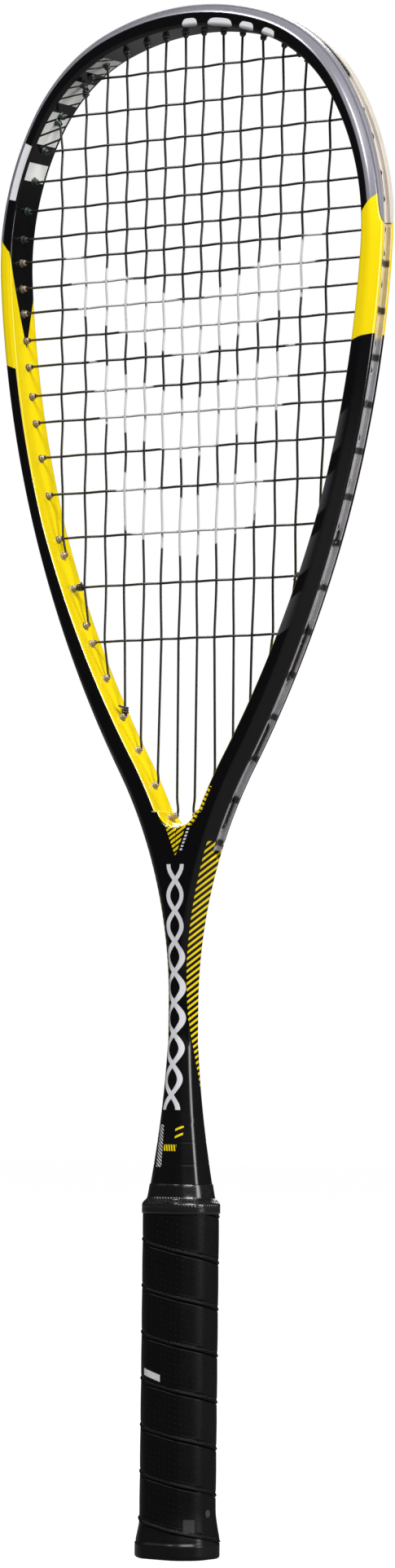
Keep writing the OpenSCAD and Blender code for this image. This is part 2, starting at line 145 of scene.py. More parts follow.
def at(u, w):
    """The point (X, Z) at turn u, w inwards. Past u_end the turn counts millimetres down the shaft."""
    a = abs(u)
    if a > u_end:
        p = np.array([shaft_half_w - w, z_shaft - (a - u_end)])
    else:
        centre, radius, _, _, bulge = arc_at(a)
        p = centre + (bulge * radius - w) * out_dir(heading(a))
    return np.array([-p[0], p[1]]) if u < 0 else p


def run(u):
    """How far the turn u is from the crown along the outline."""
    a, length = abs(u), 0.0
    for _, radius, first, last, _ in ARCS:
        length += radius * math.radians(min(max(a, first), last) - first)
    return math.copysign(length + max(a - u_end, 0), u)


def thick(z):
    """The beam's thickness in the string plane at height z."""
    return (beam_t
            + (crown_t - beam_t) * clamp01((z - 590) / (racket_length - 590)) ** 2
            + (throat_t - beam_t) * clamp01((taper_top - z) / (taper_top - throat_z)))


def thick_u(u):
    return thick(at(u, 0)[1])


def half_depth(z):
    return beam_d / 2 - (beam_d - shaft_d) / 2 * clamp01((taper_top - z) / (taper_top - taper_bottom))


def turn_where(axis, value, w):
    """The first turn at which the curve w inwards of the outline has that X (axis 0) or Z (axis 1)."""
    for centre, radius, first, last, bulge in ARCS:
        q = (value - centre[axis]) / (bulge * radius - w)
        if abs(q) > 1:
            continue
        h = math.degrees(math.acos(q) if axis == 1 else math.asin(q))
        u = h if bulge > 0 else 2 * h_arm - h
        if first - 1e-9 <= u <= last + 1e-9:
            return u
    return None


# ---------------------------------------------------------------- holes of the string bed
string_r = string_d / 2
taut_r = 0.55                                  # a stretched string is a little thinner
main_lift, cross_lift = 0.45, 0.68             # how far each string bends aside where two cross
groove_lane = 1.3
KNOT_REACH, KNOT_STRING_R = 2.2, 0.5
groove_seat = groove_depth - strip_wall - string_r - 0.05
cross_z = [cross_top - sum(cross_gaps[:i]) for i in range(len(cross_gaps) + 1)]
main_half = [main_gaps[0] / 2 + sum(main_gaps[1:j + 1]) for j in range(len(main_gaps))]
HALF = len(main_half)
N_MAINS, N_CROSSES = 2 * HALF, len(cross_z)


def half_index(j):
    return HALF - 1 - j if j < HALF else j - HALF


def main_side(j):
    return -1 if j < HALF else 1


def main_x(j, z):
    return main_side(j) * main_half[half_index(j)] * (1 + main_fan * (z - main_level))


def tip_w(u):
    return thick_u(u) + barrel_out


def hole_turn_z(z):
    return turn_where(1, z, thick(z) + barrel_out)


def top_turn(j):
    return main_side(j) * turn_where(0, abs(main_x(j, racket_length - 40)), tip_w(0))


def foot_turn(j):
    z = main_feet[half_index(j)]
    if half_index(j):
        return main_side(j) * hole_turn_z(z)
    reach = math.hypot(main_half[0] - c_throat[0], z - c_throat[1])
    return main_side(j) * (2 * h_arm - math.degrees(math.acos((c_throat[1] - z) / reach)))


def foot_w(j):
    if half_index(j):
        return tip_w(foot_turn(j))
    return math.hypot(main_half[0] - c_throat[0], main_feet[0] - c_throat[1]) - throat_arc_r


TOP_TURNS = [top_turn(j) for j in range(N_MAINS)]
FOOT_TURNS = [foot_turn(j) for j in range(N_MAINS)]
CROSS_TURNS = [hole_turn_z(z) for z in cross_z]
HOLES = ([(u, tip_w(u)) for u in TOP_TURNS]
         + [(FOOT_TURNS[j], foot_w(j)) for j in range(N_MAINS)]
         + [(s * u, tip_w(u)) for u in CROSS_TURNS for s in (-1, 1)])


# ---------------------------------------------------------------- meshes
def rounded(corners, radii, steps, closed=False):
    """A polyline with its corners rounded, as rows (x, y, place), where place counts the corners."""
    rows, n = [], len(corners)
    corners = [np.array(c, float) for c in corners]
    for i, (here, radius) in enumerate(zip(corners, radii)):
        if not closed and i in (0, n - 1):
            rows.append((*here, i))
            continue
        back, ahead = corners[i - 1] - here, corners[(i + 1) % n] - here
        lengths = np.linalg.norm(back), np.linalg.norm(ahead)
        reach = min(radius, 0.45 * lengths[0], 0.45 * lengths[1])
        a, b = here + back / lengths[0] * reach, here + ahead / lengths[1] * reach
        for k in range(steps + 1):
            t = k / steps
            p = (1 - t) ** 2 * a + 2 * t * (1 - t) * here + t ** 2 * b
            rows.append((*p, i + 0.5 * (t - 0.5)))
    return rows


class Shape:
    """Points, faces and four numbers at each point, added part by part."""

    def __init__(self):
        self.points, self.faces, self.values = [], [], []

    def loft(self, rings, values=None, closed=True, caps=True):
        """A skin through rings of equally many points. values has four numbers for each of them."""
        first, m = len(self.points), len(rings[0])
        for r, ring in enumerate(rings):
            self.points.extend(ring)
            self.values.extend(values[r] if values is not None else [(0, 0, 0, 0)] * m)
        for r in range(len(rings) - 1):
            for s in range(m if closed else m - 1):
                a, b = first + r * m + s, first + r * m + (s + 1) % m
                self.faces.append((a, b, b + m, a + m))
        if caps:
            self.faces.append(tuple(first + s for s in reversed(range(m))))
            self.cap_last(m)

    def cap_last(self, count):
        """A face over the last ring, which has count points."""
        first = len(self.points) - count
        self.faces.append(tuple(range(first, len(self.points))))

    def mirror(self):
        """A copy of everything on the other side of the middle plane."""
        n = len(self.points)
        self.points += [(-x, y, z) for x, y, z in self.points]
        self.values += [(-s, w, place, rel) for s, w, place, rel in self.values]
        self.faces += [tuple(v + n for v in reversed(f)) for f in self.faces]


def make_piece(name, shape, material, node, weld=None, open_middle=False):
    """A smooth piece from a shape, which replaces a node. Its values become the UV maps run and section.

    Points nearer than weld are joined. With open_middle the faces on the middle plane are taken out.
    """
    mesh = bpy.data.meshes.new(name)
    mesh.from_pydata([tuple(c * MM for c in p) for p in shape.points], [], shape.faces)
    values = np.array(shape.values, float)
    corners = np.array([loop.vertex_index for loop in mesh.loops])
    for layer, columns in (("run", (0, 1)), ("section", (2, 3))):
        uv = mesh.uv_layers.new(name=layer)
        uv.data.foreach_set("uv", values[corners][:, columns].ravel())
    mesh.materials.append(material)
    mesh.polygons.foreach_set("use_smooth", [True] * len(mesh.polygons))
    bm = bmesh.new()
    bm.from_mesh(mesh)
    if open_middle:
        hidden = [f for f in bm.faces if all(abs(v.co.x) < 1e-6 for v in f.verts)]
        bmesh.ops.delete(bm, geom=hidden, context="FACES")
    if weld:
        bmesh.ops.remove_doubles(bm, verts=bm.verts, dist=weld * MM)
    bmesh.ops.recalc_face_normals(bm, faces=bm.faces)
    bm.to_mesh(mesh)
    bm.free()
    piece = bpy.data.objects.new(name, mesh)
    bpy.context.scene.collection.objects.link(piece)
    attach(piece, "root")
    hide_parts(node)
    return piece


def weighted_normals(piece):
    """Keeps the flat faces flat in the light, so that only the rounded edges turn it."""
    modifier = piece.modifiers.new("flat_faces", "WEIGHTED_NORMAL")
    modifier.weight = 100
    modifier.keep_sharp = True


# ---------------------------------------------------------------- shader language
class Field:
    """A number that varies over the surface. Arithmetic on it adds Math nodes to the material."""

    def __init__(self, paint, socket):
        self.paint, self.socket = paint, socket

    def math(self, operation, *others, clamp=False):
        node = self.paint.node("ShaderNodeMath", operation=operation, use_clamp=clamp)
        for value, entry in zip((self,) + others, node.inputs):
            self.paint.feed(entry, value)
        return Field(self.paint, node.outputs[0])

    def __add__(self, other):
        return self.math("ADD", other)

    def __sub__(self, other):
        return self.math("SUBTRACT", other)

    def __mul__(self, other):
        return self.math("MULTIPLY", other)

    def __truediv__(self, other):
        return self.math("DIVIDE", other)

    def __neg__(self):
        return self * -1.0

    def __abs__(self):
        return self.math("ABSOLUTE")

    def sign(self):
        return self.math("SIGN")

    def sin(self):
        return self.math("SINE")

    def root(self):
        return self.math("SQRT")

    def at_least(self, other):
        return self.math("MAXIMUM", other)

    def fold(self, period):
        """The distance to the nearest whole multiple of period."""
        return self.math("PINGPONG", period / 2)

    def above(self, edge, soft=0.15):
        """1 where this is more than edge, 0 where less, blurred over soft."""
        return (self - edge).math("MULTIPLY_ADD", 1 / soft, 0.5, clamp=True)

    def below(self, edge, soft=0.15):
        return (self - edge).math("MULTIPLY_ADD", -1 / soft, 0.5, clamp=True)

    def within(self, low, high, soft=0.15):
        return self.above(low, soft) * self.below(high, soft)

    def off(self):
        return self.math("MULTIPLY_ADD", -1.0, 1.0)


class Paint:
    """A material whose colour, roughness and bump are put together from Fields."""

    def __init__(self, name, colour, roughness, **settings):
        self.material = bpy.data.materials.new(name)
        self.material.use_nodes = True
        self.material.diffuse_color = (*colour, 1)
        self.tree = self.material.node_tree
        self.bsdf = next(n for n in self.tree.nodes if n.type == "BSDF_PRINCIPLED")
        self.bsdf.inputs["Base Color"].default_value = (*colour, 1)
        self.bsdf.inputs["Roughness"].default_value = roughness
        for key, value in settings.items():
            entry = key.replace("_", " ").title().replace("Ior", "IOR")
            self.bsdf.inputs[entry].default_value = value
        self.colour = (*colour, 1)
        self.rough = roughness
        self.height = None
        self.object_vector = self.node("ShaderNodeTexCoord").outputs["Object"]
        self.x, self.y, self.z = (c * (1 / MM) for c in self.split(self.object_vector))

    def node(self, kind, **settings):
        node = self.tree.nodes.new(kind)
        for key, value in settings.items():
            setattr(node, key, value)
        return node

    def feed(self, entry, value):
        if isinstance(value, Field):
            value = value.socket
        if isinstance(value, bpy.types.NodeSocket):
            self.tree.links.new(value, entry)
        else:
            entry.default_value = value

    def split(self, vector):
        node = self.node("ShaderNodeSeparateXYZ")
        self.feed(node.inputs[0], vector)
        return [Field(self, out) for out in node.outputs]

    def uv(self, layer):
        """The two numbers that make_piece kept in that UV map."""
        return self.split(self.node("ShaderNodeUVMap", uv_map=layer).outputs[0])[:2]

    def noise(self, size, detail=2.0, stretch=(1, 1, 1)):
        """Soft noise from 0 to 1 with grains of that size in mm."""
        scale = self.node("ShaderNodeVectorMath", operation="MULTIPLY")
        self.feed(scale.inputs[0], self.object_vector)
        scale.inputs[1].default_value = [1 / (MM * size * s) for s in stretch]
        node = self.node("ShaderNodeTexNoise")
        node.inputs["Scale"].default_value = 1.0
        node.inputs["Detail"].default_value = detail
        self.feed(node.inputs["Vector"], scale.outputs[0])
        return Field(self, node.outputs[0])

    def cells(self, size, feature="F1"):
        """Distance to the nearest cell centre, or to the cell's edge, for cells of that size in mm."""
        node = self.node("ShaderNodeTexVoronoi", feature=feature)
        node.inputs["Scale"].default_value = 1 / (MM * size)
        self.feed(node.inputs["Vector"], self.object_vector)
        return Field(self, node.outputs["Distance"])

    def blend(self, colour, mask):
        """Lays a colour over the paint where mask is 1."""
        node = self.node("ShaderNodeMix", data_type="RGBA")
        self.feed(node.inputs["Factor"], mask)
        self.feed(node.inputs[6], self.colour)
        self.feed(node.inputs[7], (*colour, 1) if isinstance(colour, tuple) else colour)
        self.colour = node.outputs[2]

    def tone(self, mask, low, high):
        """Multiplies the colour by low where mask is 0 and by high where it is 1."""
        shade = mask * (high - low) + low
        node = self.node("ShaderNodeVectorMath", operation="SCALE")
        self.feed(node.inputs[0], self.colour[:3] if isinstance(self.colour, tuple) else self.colour)
        self.feed(node.inputs["Scale"], shade)
        self.colour = node.outputs[0]

    def roughen(self, field):
        self.rough = field

    def raise_by(self, field, millimetres):
        """Adds field, in units of that many millimetres, to the height of the surface."""
        part = field * (millimetres * MM)
        self.height = part if self.height is None else self.height + part

    def finish(self):
        self.feed(self.bsdf.inputs["Base Color"], self.colour)
        self.feed(self.bsdf.inputs["Roughness"], self.rough)
        if self.height is not None:
            bump = self.node("ShaderNodeBump")
            bump.inputs["Distance"].default_value = 1.0
            bump.inputs["Strength"].default_value = 1.0
            self.feed(bump.inputs["Height"], self.height)
            self.feed(self.bsdf.inputs["Normal"], bump.outputs[0])
        return self.material


BLACK = (0.0022, 0.002, 0.0026)
YELLOW = (0.80, 0.61, 0.004)
SILVER = (0.21, 0.205, 0.235)
WHITE = (0.66, 0.66, 0.69)
PALE = (0.74, 0.75, 0.72)
FLAKE = (0.25, 0.245, 0.28)
# grey of the painted reflections on the front of the right arm
REFLECTED_GREY = (0.085, 0.082, 0.092)
HAIRLINE = (0.28, 0.25, 0.16)
PRINT = (0.42, 0.43, 0.42)
HATCH = (0.50, 0.50, 0.52)
LACQUER = dict(coat_weight=0.5, coat_roughness=0.14, specular_ior_level=0.25)
BRAID_PITCH, BRAID_REACH = 27, 3.6            # length of one wave, and how far it swings aside


def stripes(paint):
    """Slanting stripes on the sides of the shaft, in a strip that narrows at both ends."""
    x, z = paint.x, paint.z
    turned = paint.y * x.sign()
    narrows = (-z + 262).at_least(-42.0) * 0.045
    start = narrows.at_least((-z + 262) * 0.025) + (-z + 236).at_least(0.0) * 0.2 - 4.9
    strip = turned.above(start) * turned.below(5.2) * abs(x).above(2.6)
    lines = (z - turned * 0.48 - abs(x) * 0.65).fold(2.75).below(0.60, 0.12)
    paint.blend(YELLOW, strip * lines * z.within(205.5, 314))


def braid(paint):
    """Two waves that cross, along the flat front and back of the shaft."""
    wave, reach = 2 * math.pi / BRAID_PITCH, BRAID_REACH
    for phase in (0.0, math.pi):
        angle = paint.z * wave + phase
        offset = abs(paint.x - angle.sin() * reach)
        slope = (angle + math.pi / 2).sin() * (reach * wave)
        line = (offset / (slope * slope + 1.0).root()).below(1.05, 0.2)
        paint.blend(WHITE, line * paint.z.within(196, 304) * abs(paint.y).above(4.2, 0.4))


def lacquer_wear(paint, base):
    """Fine unevenness of lacquer: gloss that varies a little, and a faint orange-peel surface."""
    mottle = paint.noise(9.0, 3.0)
    fine = paint.noise(0.8, 2.0)
    paint.roughen((mottle - 0.5) * 0.10 + (fine - 0.5) * 0.05 + base)
    paint.raise_by(paint.noise(2.4, 2.0), 0.012)


def hoop_zones(paint, w, place, turned):
    """Silver crown, yellow shoulders and yellow inner wall. Returns where the silver is."""
    z, side = paint.z, paint.x.sign()
    silver_edge = (w - 4) * -1.2 + side * 0.9 + 588.4
    silver = z.above(silver_edge, 0.3) * place.below(5.0, 0.15)
    yellow_low = (w - 4) * -0.4 + 531
    inner = place.above(6.75, 0.1)
    band = z.below(silver_edge, 0.3) * z.above(yellow_low, 0.3) * inner.off()
    inner_edge = (turned * -29 - 1.5).at_least(turned * 43.6 + 2.2) + 539.4
    inside = z.below(inner_edge, 0.5) * z.above(320.2, 0.3) * inner
    paint.blend(SILVER, silver)
    paint.blend(FLAKE, silver * paint.cells(0.35).above(0.45, 0.3) * 0.6)
    paint.blend(YELLOW, band.at_least(inside))
    return silver


def shoulder_blocks(paint, along, place, rel, turned):
    """Plain pale blocks along the inner wall of the shoulders, and a bar on the front of the left one."""
    notches = (along + rel * 5.0).fold(7.3).above(0.7, 0.2)
    wall = place.above(6.9, 0.08) * abs(rel).below(0.74, 0.03)
    for centre, half in ((57.5, 6.5), (79.0, 7.5), (101.0, 9.0)):
        paint.blend(PALE, abs(along - centre).below(half, 0.3) * wall * notches)
    paint.blend(PALE, abs(along - 124.2).below(4.5, 0.3) * wall)
    bar = along.within(112, 139.5, 0.3) * place.within(5.15, 6.6, 0.1)
    paint.blend(WHITE, bar * turned.above(0.2, 0.02))


def crown_dabs(paint, s, place):
    """Rounded dabs along the inner front edge of the crown."""
    facing = s * (-paint.y).sign()
    for centre, half in ((3.8, 4.4), (21.6, 7.2), (37.5, 4.2), (51.0, 4.0)):
        lengthwise = (abs(facing - centre) / half).math("POWER", 4.0)
        crosswise = (abs(place - 6.25) / 0.75).math("POWER", 4.0)
        paint.blend(WHITE, (lengthwise + crosswise).below(1.0, 0.12))


def arm_marks(paint, along, w, place, turned):
    """Painted reflections as grey patches on the right arm, a hairline beside the yellow, and rows of dashes
    and ticks.
    """
    z = paint.z
    lean = along - w * 1.3
    # grey patches on the front of the right arm, stronger further in: painted reflections of the lights in
    # the black lacquer
    patch = (lean - 252).fold(27.5).below(8.6, 1.0) * lean.within(240, 345, 1.0)
    reflection_falloff = (w - 3.5).math("MULTIPLY_ADD", 1 / 6.5, 0.0, clamp=True)
    paint.blend(REFLECTED_GREY, patch * reflection_falloff * turned.below(-0.4, 0.05) * place.within(4.6, 6.9, 0.3))
    paint.blend(HAIRLINE, place.within(6.6, 6.78, 0.05) * z.within(330, 531) * turned.above(0.5, 0.05))
    dashes = along.fold(2.1).below(0.62, 0.15) * place.within(5.7, 6.25, 0.06) * turned.below(-0.6, 0.05)
    paint.blend(YELLOW, dashes * z.within(321, 338))
    ticks = along.fold(1.7).below(0.45, 0.12) * place.within(3.35, 3.75, 0.05) * turned.above(0.2, 0.05)
    paint.blend(PRINT, ticks * z.within(352, 447) * along.fold(23.0).above(1.6))


def web_marks(paint, place, turned):
    """A striped triangle in the fork below the opening, with a row of white dashes on one side of it."""
    x, z = paint.x, paint.z
    edge = abs(x) - (z - 307.5) * 0.42
    dashes = edge.within(1.2, 2.5) * z.fold(1.5).below(0.42, 0.15) * z.within(309.5, 320)
    paint.blend(WHITE, dashes * turned.below(-0.6, 0.05))
    triangle = edge.below(0.0, 0.2) * z.within(308, 321.5) * place.within(4.5, 6.9, 0.1)
    paint.blend(YELLOW, triangle * (z - x * 0.62).fold(2.3).below(0.62, 0.12))


def frame_paint():
    """Black lacquer with every mark of the frame. turned is below 0 on the front of the right half."""
    paint = Paint("painted_carbon", BLACK, 0.16, **LACQUER)
    s, w = paint.uv("run")
    place, rel = paint.uv("section")
    along, turned = abs(s), rel * paint.x.sign()
    silver = hoop_zones(paint, w, place, turned)
    shoulder_blocks(paint, along, place, rel, turned)
    crown_dabs(paint, s, place)
    arm_marks(paint, along, w, place, turned)
    web_marks(paint, place, turned)
    stripes(paint)
    braid(paint)
    lacquer_wear(paint, 0.15)
    paint.roughen(paint.rough + silver * 0.14)
    paint.feed(paint.bsdf.inputs["Metallic"], silver * 0.25)
    return paint.finish()


def cone_marks(paint):
    """On the front of the cone: a grey hatch, a row of yellow ticks and two slanting dashes."""
    x, z = paint.x, paint.z
    front = paint.y.below(-4.0, 0.4)
    hatch = (z + x * 0.8).fold(1.5).below(0.42, 0.15) * abs(x + 4.6).below(1.5) * z.within(171, 189.5)
    paint.blend(HATCH, hatch * front)
    ticks = (x + z * 0.2).fold(1.35).below(0.40, 0.12) * x.within(-2.4, 4.2) * z.within(178.0, 180.8)
    dashes = (z - x * 0.5).fold(3.2).below(0.5, 0.15) * x.within(3.2, 6.4) * z.within(183.0, 189.0)
    paint.blend(YELLOW, ticks.at_least(dashes) * front)


def cone_paint():
    paint = Paint("cone_lacquer", BLACK, 0.24, **LACQUER)
    stripes(paint)
    braid(paint)
    cone_marks(paint)
    lacquer_wear(paint, 0.27)
    return paint.finish()


def bumper_nylon():
    """Matt silver-grey nylon, scuffed at the crown, with dark barrels."""
    paint = Paint("bumper_nylon", SILVER, 0.42, coat_weight=0.25, coat_roughness=0.3)
    s, w = paint.uv("run")
    warm = abs(s).within(60, 210, 50.0) * paint.y.above(-2.6, 0.5)
    paint.blend((0.62, 0.56, 0.48), warm * 0.85)
    scuffs = paint.noise(1.6, 4.0, (6, 1, 1)).above(0.60, 0.12) * abs(s).below(60, 30.0)
    paint.blend((0.30, 0.30, 0.31), scuffs * 0.5)
    paint.tone(paint.noise(5.0, 3.0), 0.9, 1.08)
    paint.blend((0.035, 0.05, 0.045), w.above(4.0, 0.3))
    paint.roughen(paint.noise(1.2, 3.0) * 0.18 + 0.32)
    paint.raise_by(paint.noise(0.5, 3.0), 0.02)
    paint.raise_by(scuffs, -0.03)
    return paint.finish()


def strip_nylon():
    """Translucent nylon: smoky grey beside black paint, honey beside yellow, brown at the barrels."""
    paint = Paint("strip_nylon", (0.36, 0.355, 0.37), 0.25, coat_weight=0.6, coat_roughness=0.1,
                  subsurface_weight=0.25, subsurface_scale=0.002)
    s, w = paint.uv("run")
    paint.blend((0.66, 0.53, 0.28), paint.z.within(531, 592, 2.0))
    paint.tone(paint.noise(6.0, 3.0), 0.72, 1.2)
    paint.tone(s.fold(20.5).above(1.5, 0.8), 0.14, 1.0)
    barrel = w.above(4.0, 0.3)
    paint.blend((0.40, 0.33, 0.22), barrel)
    paint.blend((0.09, 0.07, 0.05), barrel * w.fold(1.1).below(0.16, 0.12))
    paint.roughen(paint.noise(1.5, 2.0) * 0.15 + 0.18)
    paint.raise_by(paint.noise(0.7, 2.0), 0.015)
    return paint.finish()


def string_material():
    """Black string of twisted fibres with a sprayed pattern of three chevrons."""
    paint = Paint("string", (0.005, 0.005, 0.0055), 0.36, specular_ior_level=0.5, coat_weight=0.3,
                  coat_roughness=0.25)
    s, around = paint.uv("run")
    level = paint.z - abs(paint.x) * 0.42
    grain = (paint.noise(1.1, 3.0) - 0.5) * 2.4
    chevrons = (level + grain - 452).fold(44.0).below(13.0, 0.7) * level.within(434, 558, 0.8)
    edge = abs(paint.x) - (paint.z - 450) * 0.28 - 34
    sprayed = chevrons * (edge + grain).below(0.0, 0.8) * abs(paint.y).below(6.0)
    fibres = (s * 0.9 + around * 2.0).fold(1.0) * 2.0
    paint.tone(fibres, 0.85, 1.35)
    paint.blend((0.50, 0.505, 0.50), sprayed * 0.96)
    paint.roughen(sprayed * 0.25 + paint.noise(0.9) * 0.15 + 0.28)
    paint.raise_by(fibres, 0.02)
    return paint.finish()


def knot_material():
    """The same string, unstretched, so that its twist shows more."""
    paint = Paint("knot_string", (0.02, 0.02, 0.022), 0.4, coat_weight=0.2, coat_roughness=0.3)
    s, around = paint.uv("run")
    fibres = (s * 1.1 + around * 2.0).fold(1.0) * 2.0
    paint.tone(fibres, 0.8, 1.4)
    paint.raise_by(fibres, 0.02)
    return paint.finish()


def butt_plastic():
    """Moulded black plastic with a fine grain."""
    paint = Paint("butt_plastic", (0.0025, 0.0023, 0.0026), 0.38, specular_ior_level=0.22,
                  coat_weight=0.1, coat_roughness=0.2)
    paint.tone(paint.noise(4.0, 3.0), 0.8, 1.25)
    paint.roughen(paint.noise(0.6, 3.0) * 0.22 + 0.28)
    paint.raise_by(paint.noise(0.35, 2.0), 0.02)
    return paint.finish()


def grip_marks(paint):
    """A short plain bar on the front, and a dim grey patch on the chamfer near the butt."""
    x, y, z = paint.x, paint.y, paint.z
    bar = abs(x + 4.4).below(4.6, 0.3) * abs(z + x * 0.3 - 78.8).below(1.5, 0.3)
    paint.blend((0.62, 0.62, 0.62), bar * y.below(-12.0))
    chamfer = (x + y) * math.sqrt(0.5)
    patch = abs(chamfer - 2.4).below(2.5, 0.5) * abs(z - 14.9).below(2.8, 0.5) * (x - y).above(20)
    paint.blend((0.045, 0.042, 0.042), patch * 0.8)


def grip_polyurethane():
    """Tacky black polyurethane: fine grain, rows of tiny pinholes, crimps just above each seam."""
    paint = Paint("grip_polyurethane", (0.0016, 0.0014, 0.0017), 0.5, specular_ior_level=0.14)
    s, f = paint.uv("run")
    grain = paint.cells(0.55, "DISTANCE_TO_EDGE")
    broad = paint.noise(7.0, 3.0)
    crimps = (s + f * 9.0).fold(1.0) * 2.0 * f.within(0.07, 0.15, 0.02)
    across, upward = s.fold(HOLE_PITCH), (f * WRAP_PITCH).fold(HOLE_PITCH)
    holes = (across * across + upward * upward).root().below(0.2, 0.15) * f.within(0.18, 0.93, 0.02)
    paint.tone(broad, 0.75, 1.3)
    paint.blend((0.004, 0.004, 0.004), holes * 0.8)
    grip_marks(paint)
    paint.roughen(broad * 0.16 + grain * 0.25 + 0.34 - crimps * 0.14)
    paint.raise_by(grain.below(0.1, 0.2), -0.018)
    paint.raise_by(holes, -0.12)
    paint.raise_by(crimps, 0.16)
    return paint.finish()


def tape_vinyl():
    """Black vinyl tape: slightly glossy, creased in slanting ribs where it steps down to the cone, with a
    painted highlight along the ribs.
    """
    paint = Paint("tape_vinyl", (0.0025, 0.0024, 0.0026), 0.3, coat_weight=0.4, coat_roughness=0.2)
    s, _ = paint.uv("run")
    ribs = (s + paint.z * 0.55).fold(1.5) * (2 / 1.5)
    step = paint.z.within(153.6, 157.4, 1.0)
    # the ribs are painted lighter towards their crests: a painted highlight on the creases
    paint.tone(ribs * step, 1.0, 2.4)
    paint.tone(paint.noise(3.0, 3.0), 0.8, 1.25)
    paint.roughen(paint.noise(1.4, 3.0) * 0.2 + 0.2)
    paint.raise_by(ribs * step, 0.30)
    paint.raise_by(paint.noise(1.0, 2.0, (3, 3, 1)), 0.03)
    return paint.finish()


def bare_metal(name, colour, roughness):
    """Drawn or stamped metal with fine scratches."""
    paint = Paint(name, colour, roughness, metallic=1.0)
    scratches = paint.noise(0.25, 3.0, (8, 1, 1))
    paint.tone(scratches, 0.85, 1.1)
    paint.roughen(scratches * 0.2 + roughness - 0.1)
    paint.raise_by(scratches, 0.006)
    return paint.finish()


# ---------------------------------------------------------------- frame, guard and strips
throat_c = throat_z + throat_r
throat_join = throat_c - throat_r * 0.38
strip_u = turn_where(1, strip_end_z, 0)
tongue = 4.4                                  # turn over which the guard tapers to its end
STEP = [2.0, 2.0, 2.0, 2.2, 0.8]              # spacing of the cross-sections on each arc


def turns(first, last, *fine):
    """Turns of the cross-sections between two turns, closer together round those in fine."""
    found = [first, last]
    for (_, radius, a, b, _), step in zip(ARCS, STEP):
        count = math.ceil(radius * math.radians(b - a) / step)
        found += list(np.linspace(a, b, count + 1))
    for low, high, count in fine:
        found += list(np.linspace(low, high, count))
    found = sorted(u for u in found if first <= u <= last)
    return [u for u, after in zip(found, found[1:] + [None]) if after is None or after - u > 0.01]


def to_middle(u):
    if u > u_end:
        return shaft_half_w
    centre, radius, _, _, bulge = arc_at(u)
    return 400 if bulge > 0 else centre[0] / math.sin(math.radians(heading(u))) - radius


def to_throat(u):
    p = at(u, 0)
    d = at(u, 1) - p
    q = np.array([0, throat_c]) - p
    along = q @ d
    under = throat_r ** 2 - (q @ q - along ** 2)
    return along - math.sqrt(under) if under > 0 else 400


def inner_w(u):
    """How far inwards the beam reaches: its inner wall, the round throat, or the middle plane."""
    t = thick_u(u)
    p = at(u, t)
    if u < h_arm or (p[1] > throat_join and p[0] > 0):
        return t
    w = to_throat(u)
    if w < 400 and at(u, w)[0] >= 0 and w < to_middle(u):
        return w
    return to_middle(u)


def guard_share(u):
    """1 over the guard, falling to 0 at its rounded end."""
    t = clamp01((bumper_end - abs(u)) / tongue)
    return math.sqrt(1 - (1 - t) ** 2)


def groove_at(u):
    """Depth of the string groove, which runs out just past the grommet strips."""
    return 0.03 + (groove_depth - 0.03) * clamp01((strip_u + 0.9 - u) / 0.8) ** 0.5


def beam_corners(u):
    """Half the beam's depth at turn u, and the corners of its back half as (inwards, depth)."""
    z = at(u, 0)[1]
    h = half_depth(z)
    w0 = bumper_t * guard_share(u)
    f = 0.48 * h + 1.2 * w0
    reach = inner_w(u)
    cut = clamp01((at(u, reach)[1] - throat_z + 4) / 4)
    return h, [
        (groove_at(u), 0), (groove_at(u), groove_half_w), (w0, groove_half_w), (w0, f),
        (2.8, h - 0.8), (4.2, h), (reach - 0.4 - 0.8 * cut, h), (reach, h - cut), (reach, 0),
    ]


BEAM_RADII = [0, 0.5, 0.25, 1.0, 1.6, 1.2, 0.7, 0.7, 0]
GUARD_RADII = [0, 0.25, 0.3, 0.45, 0.1, 0.1, 0.1, 0]
STRIP_RADII = [0, 0.25, 0.2, 0.3, 0.1, 0]
GAP = 0.03                                    # between a channel and the groove it lies in
STRIP_LIP = -0.2                              # the strips stand out this far from the hoop
BARREL_SIDES = 20
channel_floor, channel_half = groove_depth - strip_wall, groove_half_w - strip_wall


def section_ring(u, rows, h):
    """Both halves of a cross-section as points in space, and the four numbers kept at each."""
    full = rows + [(w, -y, place) for w, y, place in reversed(rows[1:-1])]
    spots = [at(u, w) for w, _, _ in full]
    ring = [(p[0], y, p[1]) for p, (_, y, _) in zip(spots, full)]
    return ring, [(run(u), w, place, y / h) for w, y, place in full]


def sweep(shape, sections, caps):
    """A skin through cross-sections, each a turn, the rows of its back half and its half depth."""
    rings, values = zip(*(section_ring(u, rows, h) for u, rows, h in sections))
    shape.loft(rings, values, caps=caps)


def build_frame(material):
    """The painted hoop, arms and shaft, as one skin on each side of the middle plane."""
    shape = Shape()
    fine = ((bumper_end - tongue, bumper_end, 20), (strip_u - 0.5, strip_u + 1.2, 12))
    stations = turns(0, u_end, *fine) + list(np.linspace(u_end + 0.5, u_bottom, 10))
    halves = [(u, *beam_corners(u)) for u in stations]
    sweep(shape, [(u, rounded(corners, BEAM_RADII, 4), h) for u, h, corners in halves], caps=False)
    shape.mirror()
    weighted_normals(make_piece("racket_frame", shape, material, "frame", 0.004,
                                open_middle=True))


def revolve(shape, u, profile, sides):
    """A round part about the outline's normal at turn u. The profile is (distance inwards, radius)."""
    start, ahead = at(u, 0), at(u, 1) - at(u, 0)
    rings, values = [], []
    for w, radius in profile:
        centre = start + ahead * w
        ring = []
        for k in range(sides):
            a = 2 * math.pi * k / sides
            across = radius * math.cos(a)
            ring.append((centre[0] - ahead[1] * across, radius * math.sin(a), centre[1] + ahead[0] * across))
        rings.append(ring)
        values.append([(run(u), w, k / sides, 0) for k in range(sides)])
    shape.loft(rings, values, caps=False)


